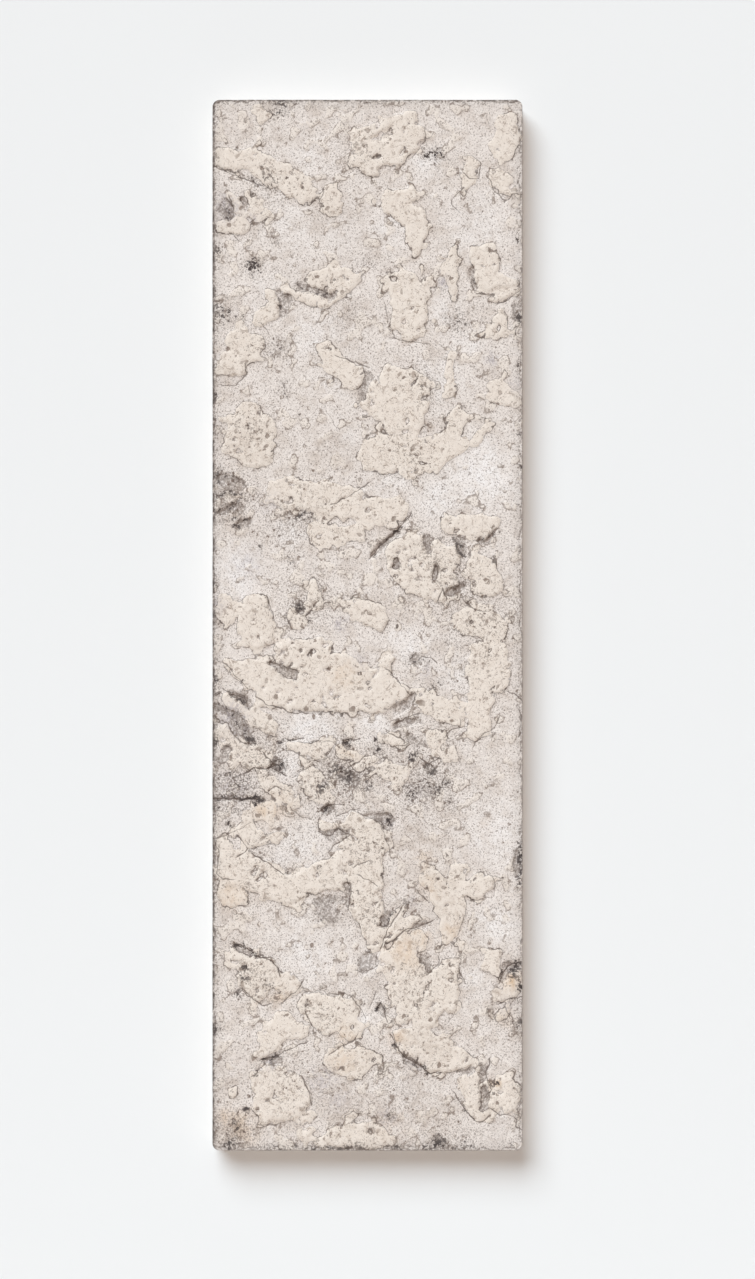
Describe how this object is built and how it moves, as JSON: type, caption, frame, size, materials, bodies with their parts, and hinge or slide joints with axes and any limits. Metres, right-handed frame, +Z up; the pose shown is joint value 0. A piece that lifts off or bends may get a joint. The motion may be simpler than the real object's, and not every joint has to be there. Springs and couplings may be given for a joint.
{
  "type": "ceramic wall panel",
  "caption": "Tall slab of fired clay with a cracked, flaking slip face and hanger sockets in its flat back, hung flat on a wall.",
  "frame": {"origin": "centre of the flat back, where the panel meets the wall", "axes": "+Y out of the back towards the wall, -Y the carved face, +Z up along the panel's length, +X to the right seen from the front"},
  "size_m": [0.31, 0.035, 1.05],
  "materials": {
    "fired_clay": "dry matte bisque with flaking cream slip, pores and grey edges"
  },
  "bodies": {
    "root": {"panel": "fired_clay"}
  },
  "joints": []
}
